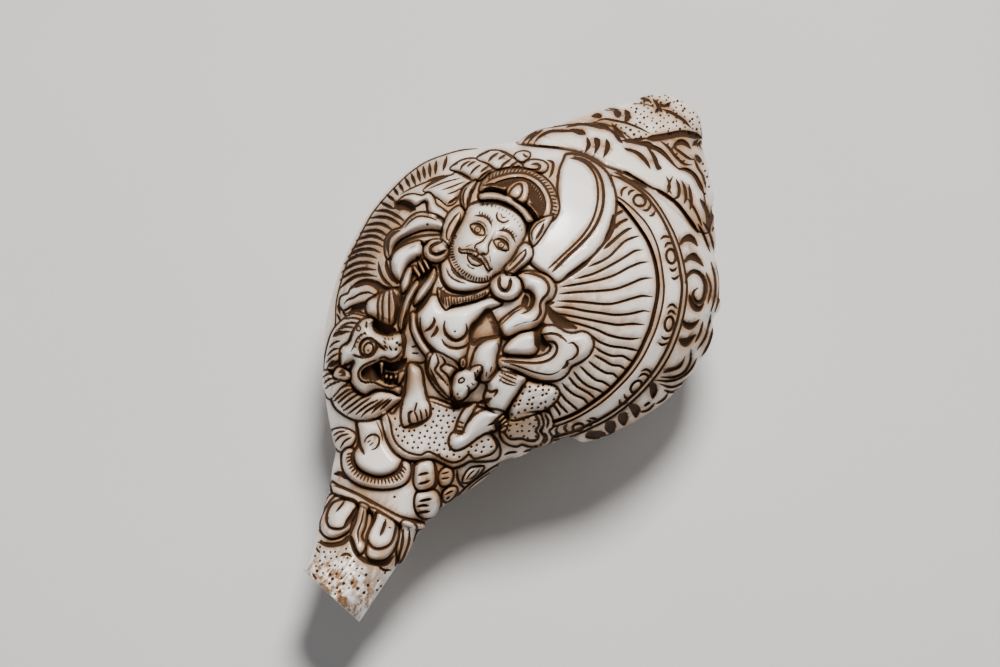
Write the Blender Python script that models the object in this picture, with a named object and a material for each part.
"""Carved conch shell, lying on its mouth.

One solid: the coiled wall of the shell, its hollow and canal, and the large
masses of the carving. Metres, +Z up. The coiling axis lies along X with the
apex at +X and the canal end at -X. The origin is under the middle of the
bounding box, on the surface that the shell rests on.
"""
import math

import bmesh
import bpy
import numpy as np

MM = 0.001

# The coiled wall, millimetres. DEPTH is measured along the coiling axis from
# the apex. PROFILE gives depth and radius of the last whorl at the lip; every
# earlier turn is the same outline made smaller by WHORL_RATIO.
SHELL_LENGTH = 168.3
WHORL_RATIO = 1.576
PROFILE_DEPTH = (42, 47, 53, 61, 70, 80, 92, 104, 115, 126, 137, 148, 160, 173, 186)
PROFILE_RADIUS = (32.1, 40.9, 45.6, 51.5, 55.3, 56.2, 55.1, 51.8, 46.7, 38.4,
                  27.3, 20.4, 15.8, 11.3, 6.3)
NECK_DEPTH = (92, 105, 118, 132, 150, 172)
NECK_RADIUS = (4.0, 11.2, 13.9, 9.1, 9.0, 9.8)
NECK_START = 88.0
NECK_BLEND = 3.0
SPIRE_LIFT = 7.7
SPIRE_LIFT_POWER = 1.4
APEX_ROUND = 16.8
APEX_FLATTEN = 0.6
APEX_REACH = 16.0
APEX_SMOOTH = 1.5
TIP_SLANT = 0.2
TIP_SKEW = 0.115
TIP_START = 140.0
TIP_PLAIN = 4.0
TURNS_SHOWN = 9

# Angles round the axis, degrees: 0 faces the carved side, +90 is its right.
LIP_ANGLE = -145.0
ROLL = 12.74
CARVED_HALF = 98.0
SEAM_GAP = 0.45

# A low cord runs under each step of the spire, millimetres.
CORD_DEPTH = 47.5
CORD_DROP = 1.5
CORD_WIDTH = 1.6
CORD_HEIGHT = 0.8
CORD_TURNS = 3
CORD_LAST = 42.0

# The hollow, millimetres.
WALL = 4.0
INNER_GLAZE = 1.2
NARROWEST = 4.0
HOLLOW_OUTSIDE = 13.0
HOLLOW_TURN = 330.0
CANAL_ANGLE = 199.0
CANAL_WIDTH = 5.0
CANAL_FLOOR = 3.6
CANAL_START = 140.0

# How the shell lies: the apex is raised by APEX_RAISED degrees, and SETTLED
# moves the shell so that its lip and its last turn are ground flat on z = 0.
APEX_X = 85.0
APEX_RAISED = 4.0
SETTLED = (0.07, -5.0, 35.9)

# The carving is drawn as seen by an eye above the carved side. One unit of
# the drawing is 0.268 mm on the shell.
EYE_FOCUS = 2777.8
DRAWING_MIDDLE = (500.0, 333.5)
EYE_AIM_DEPTH = 85.0
EYE_OFFSET = (-3.27, 4.09, 744.0)
EYE_RIGHT = (0.5618, -0.8273, 0.0)
EYE_UP = (0.7674, 0.5212, 0.3735)
EYE_BACK = (-0.3090, -0.2098, 0.9277)


def clear_scene():
    for item in list(bpy.data.objects):
        bpy.data.objects.remove(item, do_unlink=True)


def smooth_curve(stations, values, x):
    """Cubic through the given stations."""
    stations = np.asarray(stations, float)
    values = np.asarray(values, float)
    step = np.diff(stations)
    slope = np.diff(values) / step
    tangent = np.empty_like(values)
    tangent[0] = slope[0]
    tangent[-1] = slope[-1]
    tangent[1:-1] = (slope[:-1] * step[1:] + slope[1:] * step[:-1]) / (step[1:] + step[:-1])
    i = np.clip(np.searchsorted(stations, x) - 1, 0, len(step) - 1)
    t = np.clip((x - stations[i]) / step[i], 0, 1)
    first = values[i] * (1 + 2 * t) * (1 - t) ** 2 + tangent[i] * step[i] * t * (1 - t) ** 2
    last = values[i + 1] * t * t * (3 - 2 * t) + tangent[i + 1] * step[i] * t * t * (t - 1)
    return first + last


def growth(angle, turn=0):
    return WHORL_RATIO ** (-(angle - LIP_ANGLE) / 360.0 - turn)


def whorl_radius(size, depth):
    """Radius of one whorl of the given size; far below zero off its ends."""
    q = depth / size
    low, high = PROFILE_DEPTH[0], PROFILE_DEPTH[-1]
    radius = size * smooth_curve(PROFILE_DEPTH, PROFILE_RADIUS, np.clip(q, low, high))
    radius = radius + SPIRE_LIFT * np.clip(1 - size, 0, 1) ** SPIRE_LIFT_POWER
    return np.where((q < low) | (q > high), -50.0, radius)


def soft_max(a, b, blend):
    h = np.clip(0.5 + 0.5 * (a - b) / blend, 0, 1)
    return b * (1 - h) + a * h + blend * h * (1 - h)


def shell_radius(angle, depth):
    radius = np.full(np.broadcast(angle, depth).shape, -1.0)
    for turn in range(TURNS_SHOWN):
        radius = np.maximum(radius, whorl_radius(growth(angle, turn), depth))
    neck = smooth_curve(NECK_DEPTH, NECK_RADIUS, np.clip(depth, NECK_DEPTH[0], NECK_DEPTH[-1]))
    radius = np.where(depth > NECK_START, soft_max(radius, neck, NECK_BLEND), radius)
    cap = np.sqrt(np.clip(2 * APEX_ROUND * depth - APEX_FLATTEN * depth ** 2, 0, None))
    radius = np.where(depth < APEX_REACH, np.minimum(radius, cap), radius)
    return np.clip(np.where(depth < APEX_SMOOTH, cap, radius), 0, None)


def place(angle, depth, radius):
    """Position with the coiling axis level along X, millimetres."""
    turned = np.radians(angle + ROLL)
    x = APEX_X - depth
    y = -radius * np.sin(turned)
    z = radius * np.cos(turned)
    return np.stack(np.broadcast_arrays(x, y, z), -1)


def settle(points):
    """Tip the level shell to the way it lies in the part's frame."""
    c, s = math.cos(math.radians(APEX_RAISED)), math.sin(math.radians(APEX_RAISED))
    pitch = np.array(((c, 0, s), (0, 1, 0), (-s, 0, c)))
    return points @ pitch + np.array(SETTLED)


def outer_point(angle, depth):
    radius = shell_radius(angle, depth)
    stretch = np.clip((depth - TIP_START) / (SHELL_LENGTH - TIP_START), 0, None)
    turned = np.radians(angle)
    slant = TIP_SLANT * np.cos(turned) + TIP_SKEW * np.sin(turned)
    return place(angle, depth + stretch * slant * radius, radius)


def outer_normal(angle, depth):
    along = outer_point(angle, depth + 0.8) - outer_point(angle, depth - 0.8)
    around = outer_point(angle + 0.8, depth) - outer_point(angle - 0.8, depth)
    normal = np.cross(around, along)
    length = np.linalg.norm(normal, axis=-1, keepdims=True)
    normal = normal / np.maximum(length, 1e-9)
    outward = place(angle, depth, 1.0) - place(angle, depth, 0.0)
    outward[..., 0] += np.where(depth < APEX_REACH, 1.0, 0.0)
    flip = np.where((normal * outward).sum(-1, keepdims=True) < 0, -1.0, 1.0)
    return normal * flip


def eye_position():
    aim = np.array((APEX_X - EYE_AIM_DEPTH, 0.0, 0.0))
    axes = np.array((EYE_RIGHT, EYE_UP, EYE_BACK))
    return aim + np.array(EYE_OFFSET) @ axes


def drawing_position(points):
    """Where a point of the shell appears on the drawing."""
    ray = points - eye_position()
    reach = -(ray @ np.array(EYE_BACK))
    u = DRAWING_MIDDLE[0] + EYE_FOCUS * (ray @ np.array(EYE_RIGHT)) / reach
    v = DRAWING_MIDDLE[1] - EYE_FOCUS * (ray @ np.array(EYE_UP)) / reach
    return u, v


def dome(u, v, centre, half, turn, height, power=0.8):
    """Oval mass: half axes in drawing units, height in millimetres."""
    c, s = math.cos(math.radians(turn)), math.sin(math.radians(turn))
    x = ((u - centre[0]) * c + (v - centre[1]) * s) / half[0]
    y = ((v - centre[1]) * c - (u - centre[0]) * s) / half[1]
    return height * np.clip(1 - x * x - y * y, 0, 1) ** power


def limb(u, v, path, height, power=0.8):
    """Rounded bar along a path of (u, v, half width)."""
    best = np.zeros_like(u)
    for (ua, va, wa), (ub, vb, wb) in zip(path[:-1], path[1:]):
        du, dv = ub - ua, vb - va
        t = np.clip(((u - ua) * du + (v - va) * dv) / (du * du + dv * dv), 0, 1)
        gap = np.hypot(u - ua - t * du, v - va - t * dv) / (wa + t * (wb - wa))
        best = np.maximum(best, height * np.clip(1 - gap * gap, 0, 1) ** power)
    return best


def arc_path(centre, radius, start, stop, width, steps=16):
    """Path along an arc, angles in degrees clockwise from the right."""
    path = []
    for angle in np.linspace(math.radians(start), math.radians(stop), steps):
        path.append((centre[0] + radius[0] * math.cos(angle),
                     centre[1] + radius[1] * math.sin(angle), width))
    return path


def seated_figure(u, v):
    masses = [
        dome(u, v, (487, 243), (34, 42), 33, 7.5, 0.5),
        dome(u, v, (523, 196), (42, 26), 33, 5.5, 0.5),
        dome(u, v, (470, 195), (9, 16), -10, 4.0),
        dome(u, v, (541, 229), (9, 16), 40, 4.0),
        limb(u, v, ((461, 208, 6), (452, 226, 7), (446, 243, 6)), 4.0),
        limb(u, v, ((526, 246, 6), (521, 262, 7), (510, 280, 6)), 4.0),
        dome(u, v, (433, 252), (11, 11), 0, 3.2),
        dome(u, v, (505, 287), (14, 14), 0, 3.2),
        dome(u, v, (462, 318), (40, 34), 33, 4.8, 0.5),
        limb(u, v, ((447, 340, 30), (455, 365, 24)), 4.6, 0.5),
        limb(u, v, ((436, 292, 17), (420, 312, 15), (404, 318, 13)), 4.6),
        limb(u, v, ((404, 318, 14), (396, 296, 15), (418, 268, 13)), 4.8),
        limb(u, v, ((372, 300, 16), (398, 308, 18)), 3.4),
        limb(u, v, ((500, 300, 20), (522, 318, 20), (512, 338, 16), (490, 346, 11)), 4.6),
        limb(u, v, ((490, 340, 14), (478, 362, 14), (464, 384, 12)), 4.2),
        limb(u, v, ((468, 352, 20), (500, 346, 22), (524, 346, 18)), 4.4),
        limb(u, v, ((524, 346, 18), (512, 376, 20), (492, 398, 15)), 4.4),
        limb(u, v, ((492, 398, 13), (474, 426, 12), (458, 436, 8)), 3.6),
        limb(u, v, ((474, 426, 9), (504, 419, 6)), 3.2),
        limb(u, v, ((430, 352, 20), (416, 380, 15), (415, 400, 12)), 4.0),
        limb(u, v, ((415, 400, 11), (418, 422, 12)), 3.6),
    ]
    return np.max(masses, axis=0)


def cloths(u, v):
    masses = [
        limb(u, v, ((384, 268, 10), (398, 240, 12), (424, 222, 12), (444, 204, 8)), 3.0),
        limb(u, v, ((390, 290, 9), (410, 262, 10), (436, 240, 8)), 2.6),
        dome(u, v, (568, 352), (30, 20), 10, 3.4),
        dome(u, v, (592, 346), (15, 13), 0, 3.0),
        limb(u, v, ((536, 282, 16), (550, 300, 14), (536, 326, 12)), 3.6),
        limb(u, v, ((546, 334, 9), (560, 366, 10), (586, 366, 8)), 3.0),
        limb(u, v, ((388, 424, 8), (404, 452, 10), (440, 462, 12), (486, 452, 10), (502, 440, 7)),
             2.4),
        limb(u, v, ((412, 430, 24), (446, 440, 22), (478, 440, 12)), 2.2),
        dome(u, v, (535, 394), (27, 18), -20, 3.0),
        dome(u, v, (524, 430), (20, 12), -10, 2.6),
        limb(u, v, ((570, 160, 14), (590, 190, 24), (588, 222, 22), (570, 252, 14), (556, 274, 7)),
             2.0, 0.35),
        limb(u, v, ((440, 176, 14), (478, 158, 12), (520, 156, 10), (552, 164, 8)), 2.2),
        limb(u, v, ((352, 232, 10), (376, 208, 14), (412, 186, 12)), 1.6),
    ]
    return np.max(masses, axis=0)


def lion(u, v):
    masses = [
        dome(u, v, (366, 352), (36, 38), 20, 4.4, 0.6),
        limb(u, v, ((372, 336, 16), (402, 338, 12)), 5.4),
        limb(u, v, ((366, 374, 12), (386, 388, 11), (400, 380, 9)), 4.8),
        limb(u, v, arc_path((372, 362), (44, 52), 172, 62, 12), 3.2),
        dome(u, v, (340, 384), (10, 10), 0, 3.6),
        dome(u, v, (372, 448), (26, 30), 33, 3.6, 0.5),
        limb(u, v, ((424, 478, 9), (432, 492, 9)), 2.6),
        limb(u, v, ((420, 504, 8), (432, 508, 8)), 2.4),
        limb(u, v, ((336, 420, 8), (344, 446, 10), (352, 470, 9)), 2.4),
    ]
    mouth = limb(u, v, ((368, 364, 6), (384, 372, 9), (402, 366, 7)), 1.8)
    return np.max(masses, axis=0) - mouth


def disc_rim(u, v):
    band = limb(u, v, arc_path((503, 310), (165, 158), -58, 62, 12, 24), 1.0, 0.35)
    inner = limb(u, v, arc_path((500, 306), (146, 140), -56, 64, 2.5, 24), 0.9)
    return band + inner


def neck_ornament(u, v):
    collar = limb(u, v, ((330, 486, 6), (352, 502, 7), (386, 516, 7), (424, 524, 6)), 1.8)
    fringe = limb(u, v, ((334, 466, 6), (352, 480, 7), (384, 486, 7), (410, 468, 6)), 1.6)
    petals = [dome(u, v, centre, (14, 21), 30, 2.0, 0.45)
              for centre in ((342, 512), (378, 531), (410, 545), (318, 505))]
    return np.maximum(np.maximum(collar, fringe), np.max(petals, axis=0))


def spire_ledges(angle, depth):
    """A low cord under each step of the spire."""
    rise = np.zeros_like(depth)
    for turn in range(CORD_TURNS):
        line = CORD_DEPTH * growth(angle, turn) + CORD_DROP
        rise = rise + CORD_HEIGHT * np.exp(-((depth - line) / CORD_WIDTH) ** 2)
    return np.where(depth < CORD_LAST, rise, 0.0)


def uneven_growth(points):
    """Where the real shell swells past the even spiral or falls short of it."""
    u, v = drawing_position(points)
    swells = [
        limb(u, v, ((575, 117, 16), (602, 108, 24), (634, 99, 34), (664, 93, 38), (694, 106, 28)),
             1.2, 2.0),
        limb(u, v, ((716, 196, 26), (718, 226, 26), (716, 250, 22), (724, 276, 22), (720, 304, 14)),
             1.1, 2.0),
        dome(u, v, (725, 282), (22, 22), 0, 1.0, 2.0),
        limb(u, v, ((610, 438, 12), (600, 443, 15), (587, 446, 14)), 1.3, 2.0),
        dome(u, v, (526, 460), (22, 14), -20, 2.0, 2.0),
    ]
    dips = [
        dome(u, v, (500, 142), (48, 26), -5, 1.6, 2.0),
        dome(u, v, (707, 142), (24, 30), 0, 1.6, 2.0),
        dome(u, v, (714, 322), (16, 12), 0, 1.0, 2.0),
        dome(u, v, (566, 437), (16, 14), 0, 1.9, 2.0),
        dome(u, v, (332, 446), (14, 22), 0, 0.7, 2.0),
    ]
    return np.sum(swells, axis=0) - np.sum(dips, axis=0)


def carving_height(angle, depth, points, normals):
    u, v = drawing_position(points)
    to_eye = eye_position() - points
    to_eye = to_eye / np.linalg.norm(to_eye, axis=-1, keepdims=True)
    facing = np.clip(((normals * to_eye).sum(-1) + 0.10) / 0.20, 0, 1)
    masses = [seated_figure(u, v), cloths(u, v), lion(u, v), neck_ornament(u, v)]
    height = np.max(masses, axis=0)
    height = np.where(height > 0.3, height, height + disc_rim(u, v))
    return height * facing + spire_ledges(angle, depth)


def column_angles():
    """Angles of the mesh's columns, closer together on the carved side."""
    left = np.linspace(LIP_ANGLE, -CARVED_HALF, 6)[:-1]
    front = np.linspace(-CARVED_HALF, CARVED_HALF, 61)[:-1]
    right = np.linspace(CARVED_HALF, LIP_ANGLE + 360, 13)
    return np.concatenate((left, front, right))


def row_depths():
    apex = np.array((0.5, 1.8, 4.0, 7.0, 10.5, 14.0, 18.0, 21.5))
    body = np.linspace(25, 134, 38)
    neck = np.linspace(138, SHELL_LENGTH, 9)
    return np.concatenate((apex, body, neck))


def shell_wall():
    """Closed outer body: spiral wall, the step at the lip, apex and tip."""
    angles = column_angles()
    depths = row_depths()
    grid_a, grid_d = np.meshgrid(angles, depths)
    points = outer_point(grid_a, grid_d)
    normals = outer_normal(grid_a, grid_d)
    height = carving_height(grid_a, grid_d, points, normals)
    fade = np.clip((SHELL_LENGTH - grid_d) / TIP_PLAIN, 0, 1)
    points = points + normals * (height * fade + uneven_growth(points))[..., None]

    rows, columns = grid_a.shape
    index = np.arange(rows * columns).reshape(rows, columns)
    joined = np.linalg.norm(points[:, 0] - points[:, -1], axis=-1) < SEAM_GAP
    index[joined, -1] = index[joined, 0]

    faces = []
    for i in range(rows - 1):
        for j in range(columns - 1):
            faces.append((index[i, j], index[i + 1, j], index[i + 1, j + 1], index[i, j + 1]))
        step = (index[i, 0], index[i, -1], index[i + 1, -1], index[i + 1, 0])
        corners = [c for n, c in enumerate(step) if c != step[n - 1]]
        if len(set(corners)) >= 3:
            faces.append(tuple(corners))

    apex = rows * columns
    tip = apex + 1
    for j in range(columns - 1):
        faces.append((apex, index[0, j], index[0, j + 1]))
        faces.append((tip, index[-1, j + 1], index[-1, j]))
    if index[-1, 0] != index[-1, -1]:
        faces.append((tip, index[-1, 0], index[-1, -1]))
    apex_point = outer_point(np.array(0.0), np.array(0.0))
    apex_point[0] += uneven_growth(apex_point)
    tip_point = place(np.array(0.0), np.array(SHELL_LENGTH), np.array(0.0))
    verts = np.vstack((points.reshape(-1, 3), apex_point, tip_point))
    return settle(verts), faces


def hollow_section(angle, stations=13):
    """Closed outline of the hollow at one angle: list of (depth, radius)."""
    size = growth(angle)
    depth = np.linspace(20 * size, 170 * size, 400)
    outer = whorl_radius(size, depth) - WALL
    neck = smooth_curve(NECK_DEPTH, NECK_RADIUS, np.clip(depth, NECK_DEPTH[0], NECK_DEPTH[-1]))
    earlier = whorl_radius(size / WHORL_RATIO, depth)
    inner = np.maximum(earlier, np.where(depth > NECK_START, neck, 0.0)) + INNER_GLAZE
    inner = np.maximum(inner, 6.0)
    open_here = np.nonzero(outer - inner > NARROWEST)[0]
    ends = depth[open_here[0]], depth[open_here[-1]]
    turn = np.linspace(0, math.pi, stations)
    at = ends[0] + (ends[1] - ends[0]) * (1 - np.cos(turn)) / 2
    out_r = np.interp(at, depth, outer)
    in_r = np.interp(at, depth, inner)
    middle = (out_r + in_r) / 2
    half = (out_r - in_r) / 2 * (1 - (1 - np.sin(turn)) ** 3)
    down = [(d, m + h) for d, m, h in zip(at, middle, half)]
    up = [(d, m - h) for d, m, h in zip(at, middle, half)][1:-1]
    return down + up[::-1]


def hollow_body():
    """Spiral tube that is cut out of the wall."""
    angles = np.linspace(LIP_ANGLE - HOLLOW_OUTSIDE, LIP_ANGLE + HOLLOW_TURN, 25)
    verts = []
    for angle in angles:
        for depth, radius in hollow_section(angle):
            verts.append(place(angle, depth, radius))
    count = len(verts) // len(angles)
    faces = []
    for i in range(len(angles) - 1):
        for j in range(count):
            a = i * count + j
            b = i * count + (j + 1) % count
            faces.append((a, b, b + count, a + count))
    faces.append(tuple(range(count))[::-1])
    last = (len(angles) - 1) * count
    faces.append(tuple(range(last, last + count)))
    return settle(np.array(verts)), faces


def canal_body():
    """Tapered bar that opens the canal along the neck, out through the tip."""
    verts = []
    for depth, width in ((CANAL_START, CANAL_WIDTH), (SHELL_LENGTH + 12, CANAL_WIDTH * 0.8)):
        for radius in (CANAL_FLOOR, 34.0):
            middle = place(CANAL_ANGLE, depth, radius)
            side = place(CANAL_ANGLE + 90, depth, 1.0) - place(CANAL_ANGLE + 90, depth, 0.0)
            verts.append(middle - side * width / 2)
            verts.append(middle + side * width / 2)
    faces = [(0, 1, 3, 2), (4, 6, 7, 5), (0, 4, 5, 1), (2, 3, 7, 6), (0, 2, 6, 4), (1, 5, 7, 3)]
    return settle(np.array(verts)), faces


def rest_plane_body():
    """Block below the resting surface; it grinds the small flats."""
    verts = [(x, y, z) for z in (-40, 0) for y in (-120, 120) for x in (-150, 150)]
    faces = [(0, 2, 3, 1), (4, 5, 7, 6), (0, 1, 5, 4), (2, 6, 7, 3), (0, 4, 6, 2), (1, 3, 7, 5)]
    return np.array(verts, float), faces


def mesh_object(name, verts, faces):
    mesh = bpy.data.meshes.new(name)
    mesh.from_pydata([tuple(v * MM) for v in verts], [], [tuple(int(i) for i in f) for f in faces])
    mesh.validate()
    item = bpy.data.objects.new(name, mesh)
    bpy.context.scene.collection.objects.link(item)
    tidy_mesh(mesh)
    return item


def tidy_mesh(mesh):
    """Drop unused points and turn every face outward."""
    work = bmesh.new()
    work.from_mesh(mesh)
    loose = [v for v in work.verts if not v.link_faces]
    bmesh.ops.delete(work, geom=loose, context="VERTS")
    bmesh.ops.recalc_face_normals(work, faces=work.faces)
    work.to_mesh(mesh)
    work.free()


def shell_material():
    material = bpy.data.materials.new("carved_shell")
    material.use_nodes = True
    shader = material.node_tree.nodes["Principled BSDF"]
    shader.inputs["Base Color"].default_value = (0.80, 0.77, 0.71, 1.0)
    shader.inputs["Roughness"].default_value = 0.34
    shader.inputs["Metallic"].default_value = 0.0
    return material


def cut(item, name, shape):
    cutter = mesh_object(name, *shape)
    cutter.hide_render = True
    cutter.display_type = "WIRE"
    modifier = item.modifiers.new(name, "BOOLEAN")
    modifier.operation = "DIFFERENCE"
    modifier.solver = "EXACT"
    modifier.object = cutter
    return cutter


def conch_shell():
    shell = mesh_object("conch_shell", *shell_wall())
    shell.data.materials.append(shell_material())
    shell.data.shade_smooth()
    shell.data.set_sharp_from_angle(angle=math.radians(40))
    cut(shell, "hollow_cutter", hollow_body())
    cut(shell, "canal_cutter", canal_body())
    cut(shell, "rest_plane_cutter", rest_plane_body())
    return shell


clear_scene()
conch_shell()
